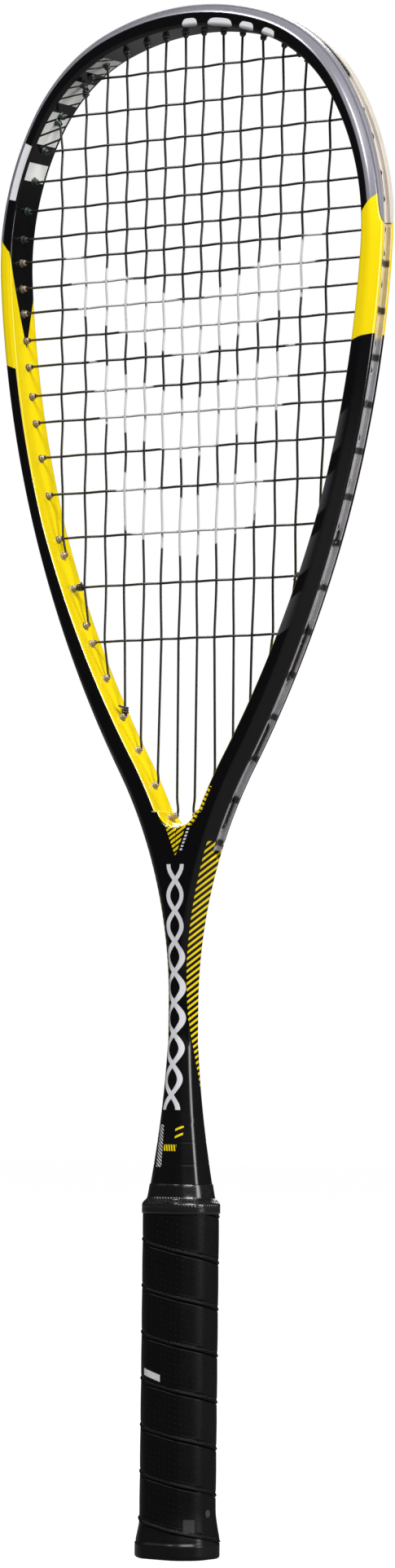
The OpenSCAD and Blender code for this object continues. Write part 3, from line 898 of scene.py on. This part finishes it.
def barrel_profile(u, mouth):
    """Rim in the groove, collar at the inner wall, two ribs and a narrowing tip with its bore."""
    floor = channel_floor
    wall = min(inner_w(abs(u)), mouth - 1.2)
    r, bore = barrel_d / 2, barrel_bore / 2
    return [
        (floor + 0.3, bore * 0.8), (floor - 0.05, bore), (floor - 0.3, bore + 0.15), (floor - 0.3, r - 0.25),
        (floor, r), (wall - 0.6, r), (wall - 0.05, r + 0.35), (wall + 0.25, r + 0.35), (wall + 0.45, r),
        (wall + 0.8, r - 0.02), (wall + 0.95, r - 0.2), (wall + 1.1, r - 0.02), (mouth - 0.3, r - 0.1),
        (mouth + 0.25, r - 0.4), (mouth + 0.6, bore + 0.02), (mouth + 0.55, bore - 0.2),
        (mouth - 0.6, bore - 0.25),
    ]


def guard_corners(u):
    """Half the guard's section: inside the groove, out over its lip and down the hoop's outside."""
    share = guard_share(u)
    top = -0.12 * (1 - share)
    under = bumper_t * share + 0.05 - 0.03 * share + 0.05 * (1 - share)
    wide = groove_half_w - GAP + (bumper_half_w - groove_half_w) * share
    return [
        (channel_floor, 0), (channel_floor, channel_half), (top, channel_half), (top, wide),
        (under, wide + 0.02 * share), (under, groove_half_w - GAP),
        (groove_depth - GAP, groove_half_w - GAP), (groove_depth - GAP, 0),
    ]


def barrels(shape, low, high):
    """A barrel at each hole between two turns."""
    for u, mouth in HOLES:
        if low < u < high:
            revolve(shape, u, barrel_profile(u, mouth), BARREL_SIDES)


def build_guard(nylon):
    """The bumper guard, closed at its two ends, with its barrels."""
    guard = Shape()
    end = bumper_end - 0.02
    stations = turns(0, end, (bumper_end - tongue, end, 20))
    halves = [(u, rounded(guard_corners(u), GUARD_RADII, 3)) for u in stations]
    sweep(guard, [(u, rows, bumper_half_w) for u, rows in halves], caps=False)
    guard.cap_last(2 * len(halves[-1][1]) - 2)
    guard.mirror()
    barrels(guard, -bumper_end, bumper_end)
    weighted_normals(make_piece("bumper_guard_shell", guard, nylon, "bumper_guard", 0.002))


def build_strip(name, side, nylon):
    """The grommet strip in the groove of one side, from the guard to the throat, with its barrels."""
    shape = Shape()
    under, wide = groove_depth - GAP, groove_half_w - GAP
    corners = [(channel_floor, 0), (channel_floor, channel_half), (STRIP_LIP, channel_half),
               (STRIP_LIP, wide), (under, wide), (under, 0)]
    rows = rounded(corners, STRIP_RADII, 3)
    stations = turns(bumper_end + 0.1, strip_u - 0.2)
    sweep(shape, [(side * u, rows, groove_half_w) for u in stations], caps=True)
    barrels(shape, *sorted((side * bumper_end, side * u_end * 2)))
    node = "grommet_strip_" + name
    weighted_normals(make_piece(node + "_clear", shape, nylon, node))


# ---------------------------------------------------------------- strings
def spot(u, w, y):
    p = at(u, w)
    return np.array([p[0], y, p[1]])


def turn_out(u, mouth, v, y):
    """From the mouth of the hole at u out to the groove, then towards the turn v in lane y."""
    d = math.copysign(math.degrees(1 / arc_at(abs(u))[1]), v - u)
    return [
        spot(u, mouth, 0), spot(u, groove_seat + 1.2, 0), spot(u + 0.4 * d, groove_seat + 0.4, y * 0.15),
        spot(u + 1.3 * d, groove_seat, y * 0.45), spot(u + 2.6 * d, groove_seat, y),
    ]


def groove_loop(u, mu, v, mv, y):
    middle = [spot(u + (v - u) * f, groove_seat, y) for f in (0.35, 0.65)]
    return turn_out(u, mu, v, y) + middle + turn_out(v, mv, u, y)[::-1]


def tail(u, mouth, y):
    """The end of a string: out of its hole and a little way along the groove."""
    v = u + math.copysign(8 * math.degrees(1 / arc_at(abs(u))[1]), -u)
    return turn_out(u, mouth, v, y) + [spot(v, groove_seat, y)]


def wall_x(z):
    w = thick(z) + barrel_out + 1.2
    u = turn_where(1, z, w)
    return at(u, w)[0] if u is not None else 0


def bed_point(j, i, lift):
    """Where main j crosses cross i. A main that reaches the wall is pushed in by the barrels."""
    z = cross_z[i]
    limit = wall_x(z) if z < 500 else 400
    sign = 1 if (i + j) % 2 == 0 else -1
    return np.array([main_side(j) * min(abs(main_x(j, z)), limit), lift * sign, z])


def top_mouth(j):
    return spot(TOP_TURNS[j], tip_w(TOP_TURNS[j]), 0)


def foot_mouth(j):
    return spot(FOOT_TURNS[j], foot_w(j), 0)


def cross_mouth(i, side):
    return spot(side * CROSS_TURNS[i], tip_w(CROSS_TURNS[i]), 0)


def crosses(j, i):
    return foot_mouth(j)[2] + 1.5 < cross_z[i] < top_mouth(j)[2] - 1.5


def taut(first, crossings, last):
    """A run of crossings with points on the straight stretches from its first hole and to its last one."""
    def between(a, b):
        return [a + (b - a) * f for f in (0.12, 0.4, 0.7, 0.9)]
    return between(first, crossings[0]) + crossings + between(crossings[-1], last)


def main_run(j):
    points = [bed_point(j, i, main_lift) for i in range(N_CROSSES) if crosses(j, i)]
    return taut(top_mouth(j), points, foot_mouth(j))


def cross_run(i):
    points = [bed_point(j, i, -cross_lift) for j in range(N_MAINS) if crosses(j, i)]
    return taut(cross_mouth(i, -1), points, cross_mouth(i, 1))


def main_path():
    """Every main from the left to the right, joined by loops in the groove at the crown and the throat."""
    path = tail(FOOT_TURNS[0], foot_w(0), groove_lane)[::-1]
    for j in range(N_MAINS):
        path += main_run(j)[::-1] if j % 2 == 0 else main_run(j)
        if j == N_MAINS - 1:
            path += tail(FOOT_TURNS[j], foot_w(j), groove_lane)
        elif j % 2 == 0:
            path += groove_loop(TOP_TURNS[j], tip_w(TOP_TURNS[j]), TOP_TURNS[j + 1], tip_w(TOP_TURNS[j + 1]),
                                groove_lane)
        else:
            path += groove_loop(FOOT_TURNS[j], foot_w(j), FOOT_TURNS[j + 1], foot_w(j + 1), groove_lane)
    return path


def cross_path():
    """Every cross from the crown down, joined by loops in the groove at the sides."""
    path = tail(-CROSS_TURNS[0], tip_w(CROSS_TURNS[0]), -groove_lane)[::-1]
    for i in range(N_CROSSES):
        side = 1 if i % 2 == 0 else -1
        u = CROSS_TURNS[i]
        path += cross_run(i) if side > 0 else cross_run(i)[::-1]
        if i == N_CROSSES - 1:
            path += tail(-u, tip_w(u), -groove_lane)
        else:
            v = CROSS_TURNS[i + 1]
            path += groove_loop(side * u, tip_w(u), side * v, tip_w(v), -groove_lane)
    return path


def smooth(path, steps):
    """A centripetal Catmull-Rom curve through the points of a path."""
    path = np.array(path)
    path = np.vstack([2 * path[0] - path[1], path, 2 * path[-1] - path[-2]])
    out = []
    for i in range(1, len(path) - 2):
        p = path[i - 1:i + 3]
        t = np.concatenate([[0], np.cumsum(np.sqrt(np.linalg.norm(np.diff(p, axis=0), axis=1)))])
        for k in range(steps):
            s = t[1] + (t[2] - t[1]) * k / steps
            a = [((t[n + 1] - s) * p[n] + (s - t[n]) * p[n + 1]) / (t[n + 1] - t[n]) for n in range(3)]
            b = [((t[n + 2] - s) * a[n] + (s - t[n]) * a[n + 1]) / (t[n + 2] - t[n]) for n in range(2)]
            out.append(((t[2] - s) * b[0] + (s - t[1]) * b[1]) / (t[2] - t[1]))
    return np.array(out + [path[-2]])


def tube(shape, path, radius, sides):
    """A round string along a path. The values are the length along it and the share of a turn round it."""
    ways = np.gradient(path, axis=0)
    ways /= np.linalg.norm(ways, axis=1)[:, None]
    lengths = np.concatenate([[0], np.cumsum(np.linalg.norm(np.diff(path, axis=0), axis=1))])
    a = np.cross(ways[0], [0.0, 1.0, 0.0])
    rings, values = [], []
    for p, way, length in zip(path, ways, lengths):
        a = a - way * (a @ way)
        a /= np.linalg.norm(a)
        b = np.cross(way, a)
        angles = [2 * math.pi * k / sides for k in range(sides)]
        rings.append([tuple(p + radius * (math.cos(g) * a + math.sin(g) * b)) for g in angles])
        values.append([(length, abs(2 * k / sides - 1), 0, 0) for k in range(sides)])
    shape.loft(rings, values)


def knot_path(p, way):
    """Turns round a string at p that runs along way, and a cut end that stands off."""
    across = np.array([-way[2], 0, way[0]])
    reach = string_r + 0.62
    path = []
    for k in range(34):
        a = 2 * math.pi * k / 12
        out = math.cos(a) * across + math.sin(a) * np.array([0, 1.0, 0])
        path.append(p + way * (k * 0.085 - 1.4) + out * reach)
    last = path[-1] - path[-2]
    path.append(path[-1] + last * 1.5 + way * 0.2)
    path.append(path[-1] + last * 2.0 + way * 0.3)
    return np.array(path)


def build_strings(material):
    for name, path in (("main_string", main_path()), ("cross_string", cross_path())):
        shape = Shape()
        tube(shape, smooth(path, 5), taut_r, 12)
        make_piece(name + "_bed", shape, material, name)


def add_knot(shape, mouth, towards):
    """A knot on the string a little way in from a hole."""
    tube(shape, knot_path(mouth + KNOT_REACH * towards, towards), KNOT_STRING_R, 10)


def build_knots(material):
    """A knot at each end of the second lowest cross, at the top of main 1 and at the foot of main 3."""
    shape = Shape()
    for side in (-1, 1):
        add_knot(shape, cross_mouth(N_CROSSES - 2, side), np.array([-side, 0, 0]))
    for hole, crossing in ((top_mouth(1), main_run(1)[0]), (foot_mouth(3), main_run(3)[-1])):
        towards = crossing - hole
        add_knot(shape, hole, towards / np.linalg.norm(towards))
    make_piece("string_tie_knots", shape, material, "string_knots")


# ---------------------------------------------------------------- handle
def octagon_ring(w, d, c, soft, out=0.0):
    """COLUMNS points evenly round an octagon w by d, with corners cut by c and grown by out."""
    w, d, c = w + 2 * out, d + 2 * out, c + 0.59 * out
    corners = [(w / 2, -d / 2 + c), (w / 2, d / 2 - c), (w / 2 - c, d / 2), (-w / 2 + c, d / 2),
               (-w / 2, d / 2 - c), (-w / 2, -d / 2 + c), (-w / 2 + c, -d / 2), (w / 2 - c, -d / 2)]
    rows = [row[:2] for row in rounded(corners, [soft] * 8, 6, closed=True)]
    rows = np.array(rows + rows[:1])
    lengths = np.concatenate([[0], np.cumsum(np.linalg.norm(np.diff(rows, axis=0), axis=1))])
    angles = np.degrees(np.arctan2(rows[:-1, 1], rows[:-1, 0])) % 360
    start = lengths[int(np.argmin(abs(angles - GRIP_START)))]
    where = (start + lengths[-1] * np.arange(COLUMNS) / COLUMNS) % lengths[-1]
    return np.stack([np.interp(where, lengths, rows[:, axis]) for axis in (0, 1)], axis=1), lengths[-1]


def flare_at(z):
    return flare * clamp01((flare_h - z) / (flare_h - flare_full)) ** 1.3


def cone_size(z):
    """Width, depth and cut corner of the handle cone at height z."""
    n = clamp01((z - grip_top) / (cone_top - grip_top))
    s = (1 - n) ** 1.6
    lip = 0.6 * clamp01((cone_top - z) / 9) - 0.1
    w, d = 2 * shaft_half_w + lip, shaft_d + lip
    return (w + s * (grip_w - 2 * grip_t - w), d + s * (grip_d - 2 * grip_t - d),
            CONE_CORNER + s * (corner - 0.59 * grip_t - CONE_CORNER))


def stack(shape, levels, caps=True):
    """A skin through octagon rings. levels are (z, width, depth, corner, softness, growth)."""
    rings, values = [], []
    for z, w, d, c, soft, out in levels:
        points, girth = octagon_ring(w, d, c, soft, out)
        rings.append([(x, y, z) for x, y in points])
        values.append([(girth * k / COLUMNS, z, 0, 0) for k in range(COLUMNS)])
    shape.loft(rings, values, caps=caps)


def build_cone(material):
    """The cone between the grip and the shaft."""
    shape = Shape()
    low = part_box("finishing_tape")[0].z / MM + 2
    levels = [(z, *cone_size(z), CONE_SOFT, 0.0) for z in np.linspace(low, cone_top + 1.5, 48)]
    # two faint mould lines round the lower half of the cone
    for line in (172.3, 182.0):
        levels += [(line + dz, *cone_size(line + dz), CONE_SOFT, sunk)
                   for dz, sunk in ((-0.5, 0.0), (0, -0.10), (0.5, 0.0))]
    stack(shape, sorted(levels))
    make_piece("handle_cone", shape, material, "handle_core")


def build_butt(material):
    """The butt cap: a rounded end face with its mould gate, and a skirt that goes under the grip."""
    shape = Shape()
    end_face = [(1.2, -9.0), (1.2, flare - 3.4), (0.0, flare - 2.9), (0.0, flare - 1.1),
                (0.35, flare - 0.35), (1.0, flare - 0.05), (2.0, flare)]
    rim = [(z, flare_at(z) - 0.02) for z in np.linspace(2.5, 6.6, 5)]
    skirt = [(z, flare_at(z) - 0.42) for z in np.linspace(6.9, 30, 24)]
    stack(shape, [(z, *FULL_GRIP, out) for z, out in end_face + rim + skirt])
    gate = [(1.6 * math.cos(a), 1.6 * math.sin(a)) for a in np.linspace(0, 2 * math.pi, 17)[:-1]]
    shape.loft([[(x, y, z) for x, y in gate] for z in (1.2, 0.5)])
    make_piece("butt_cap_shell", shape, material, "butt_cap")


def wrap_profile(f):
    """How far the tape stands out, f of the way up from one seam to the next."""
    seam = min(f, 1 - f)
    return (0.34 * math.exp(-((f - 0.046) / 0.024) ** 2) - 0.62 * math.exp(-(seam / 0.011) ** 2)
            - 0.16 * math.exp(-((f - 0.105) / 0.022) ** 2) + 0.10 * math.sin(math.pi * f))


# how far up the tape from its seam each row of points lies, closer together at the edges
WRAP_SHARES = [0, 0.006, 0.013, 0.022, 0.034, 0.048, 0.062, 0.076, 0.09, 0.105, 0.12, 0.14,
               0.18, 0.26, 0.36, 0.48, 0.6, 0.72, 0.82, 0.9, 0.95, 0.975, 0.986, 0.994, 1.0]


def build_grip(material):
    """The wrapped tape: its rows follow the seam, so that each edge is sharp."""
    plain, girth = octagon_ring(*FULL_GRIP)
    flared, _ = octagon_ring(*FULL_GRIP, flare)
    plain, flared = (np.vstack([ring, ring[:1]]) for ring in (plain, flared))
    way = np.roll(plain[:-1], -1, axis=0) - np.roll(plain[:-1], 1, axis=0)
    out = np.stack([way[:, 1], -way[:, 0]], axis=1)
    out /= np.linalg.norm(out, axis=1)[:, None]
    out = np.vstack([out, out[:1]])
    low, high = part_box("grip_wrap")[0].z / MM, grip_top
    drop = (WRAP_BEARING - GRIP_START) / 360 * WRAP_PITCH
    shape = Shape()
    for turn in range(WRAP_TURNS):
        rings, values = [], []
        for f in WRAP_SHARES:
            ring, numbers = [], []
            for k in range(COLUMNS + 1):
                z = WRAP_LEVEL + drop + WRAP_PITCH * (turn + 1 + f - k / COLUMNS)
                z = min(max(z, low), high)
                grow = flare_at(z) / flare
                p = plain[k] + (flared[k] - plain[k]) * grow + out[k] * wrap_profile(f)
                ring.append((p[0], p[1], z))
                numbers.append((girth * k / COLUMNS, f, turn, 0))
            rings.append(ring)
            values.append(numbers)
        shape.loft(rings, values, closed=False, caps=False)
    flat = {i for i, p in enumerate(shape.points) if p[2] <= low or p[2] >= high}
    shape.faces = [face for face in shape.faces if not flat.issuperset(face)]
    make_piece("grip_tape_wrap", shape, material, "grip_wrap", 0.003)


def build_tape(material):
    """Vinyl tape over the top of the grip: flat on the grip, a creased step, then snug on the cone."""
    low, high = (end.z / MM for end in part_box("finishing_tape"))
    on_grip = [(low + 0.02, 0.05), (low + 0.05, 0.42), (low + 0.4, 0.52)]
    on_grip += [(z, 0.5) for z in np.linspace(low + 1.2, grip_top - 1.4, 4)]
    on_grip += [(grip_top + up, out) for up, out in ((-0.5, 0.3), (0.3, -0.25), (1.1, -1.1), (1.8, -1.6))]
    levels = [(z, *FULL_GRIP, out) for z, out in on_grip]
    levels += [(z, *cone_size(z), 3.2, 0.45) for z in np.linspace(grip_top + 2.8, high - 0.3, 5)]
    levels += [(high - 0.05, *cone_size(high), 3.2, 0.36), (high, *cone_size(high), 3.2, 0.02)]
    shape = Shape()
    stack(shape, levels, caps=False)
    make_piece("finishing_tape_band", shape, material, "finishing_tape")


def paint_solid(node, material):
    """Gives a CAD solid that is shown as it is its own material."""
    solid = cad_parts[node]
    solid.data.materials.clear()
    solid.data.materials.append(material)


# ---------------------------------------------------------------- the racket
clear_nylon = strip_nylon()
build_frame(frame_paint())
build_guard(bumper_nylon())
build_strip("right", 1, clear_nylon)
build_strip("left", -1, clear_nylon)
build_strings(string_material())
build_knots(knot_material())
build_cone(cone_paint())
build_butt(butt_plastic())
build_grip(grip_polyurethane())
build_tape(tape_vinyl())
paint_solid("butt_cap_staples", bare_metal("staple_steel", (0.62, 0.62, 0.64), 0.3))
paint_solid("grip_tack", bare_metal("tack_steel", (0.16, 0.155, 0.15), 0.4))


# ---------------------------------------------------------------- floor, lights and camera
def camera_only(tree, entry, seen, given):
    """Gives a strength one value where the camera looks at it and another where it lights the racket."""
    path = tree.nodes.new("ShaderNodeLightPath")
    strength = tree.nodes.new("ShaderNodeMapRange")
    strength.inputs["To Min"].default_value = given
    strength.inputs["To Max"].default_value = seen
    tree.links.new(path.outputs["Is Camera Ray"], strength.inputs["Value"])
    tree.links.new(strength.outputs[0], entry)


def build_floor():
    """A wide floor that the camera sees as white and that lights the racket only a little."""
    bpy.ops.mesh.primitive_circle_add(vertices=96, radius=9, fill_type="NGON")
    floor = bpy.context.object
    floor.name = "studio_floor"
    paint = Paint("studio_floor", (0.12, 0.12, 0.12), 0.9, specular_ior_level=0.0)
    paint.bsdf.inputs["Emission Color"].default_value = (1, 1, 1, 1)
    camera_only(paint.tree, paint.bsdf.inputs["Emission Strength"], 0.985, 0.06)
    paint.tone(paint.noise(60.0, 2.0), 0.98, 1.02)
    floor.data.materials.append(paint.finish())


def softbox(name, place, size, power):
    """A rectangular lamp aimed at the middle of the racket, not seen by the camera."""
    data = bpy.data.lights.new(name, "AREA")
    data.shape = "RECTANGLE"
    data.size, data.size_y = size
    data.energy = power
    light = bpy.data.objects.new(name, data)
    light.location = place
    light.rotation_euler = (AIM - Vector(place)).to_track_quat("-Z", "Y").to_euler()
    light.visible_camera = False
    bpy.context.scene.collection.objects.link(light)


def build_world():
    """White to the camera; to the racket, a dim studio."""
    world = bpy.data.worlds.new("studio")
    bpy.context.scene.world = world
    world.use_nodes = True
    tree = world.node_tree
    background = next(n for n in tree.nodes if n.type == "BACKGROUND")
    background.inputs["Color"].default_value = (1, 1, 1, 1)
    camera_only(tree, background.inputs["Strength"], 1.0, 0.045)


def build_camera():
    """The camera stands to the right of the front, a little below the middle, and leans slightly."""
    azimuth, elevation, roll = (math.radians(angle) for angle in (CAMERA_TURN, CAMERA_RISE, CAMERA_ROLL))
    level = math.cos(elevation)
    back = Vector((math.sin(azimuth) * level, -math.cos(azimuth) * level, math.sin(elevation)))
    right = (-back).cross(Vector((0, 0, 1))).normalized()
    up = right.cross(-back)
    right, up = (right * math.cos(roll) + up * math.sin(roll), up * math.cos(roll) - right * math.sin(roll))
    camera = bpy.data.objects.new("camera", bpy.data.cameras.new("camera"))
    camera.data.lens = CAMERA_LENS
    camera.data.sensor_width = 36
    camera.data.clip_end = 50
    place = Matrix.Translation(CAMERA_TARGET + back * CAMERA_DISTANCE)
    camera.matrix_world = place @ Matrix((right, up, back)).transposed().to_4x4()
    bpy.context.scene.collection.objects.link(camera)
    bpy.context.scene.camera = camera


# angles in degrees, lengths in metres, lens in millimetres
CAMERA_TURN, CAMERA_RISE, CAMERA_ROLL = 36, -2.953, 0.675
CAMERA_DISTANCE, CAMERA_LENS = 2.35785, 122.68
CAMERA_TARGET = Vector((0.006067, 0.000212, 0.339603))
AIM = Vector((0, 0, 0.36))

build_floor()
build_world()
build_camera()
softbox("key", (1.75, -0.95, 2.1), (0.7, 0.9), 62)
softbox("fill", (-0.75, -1.45, 2.3), (1.0, 0.8), 54)
softbox("side", (1.9, 0.62, 0.85), (0.8, 1.2), 27)
softbox("back", (-0.9, 1.7, 1.9), (0.7, 0.8), 36)
bpy.context.scene.view_settings.view_transform = "Standard"
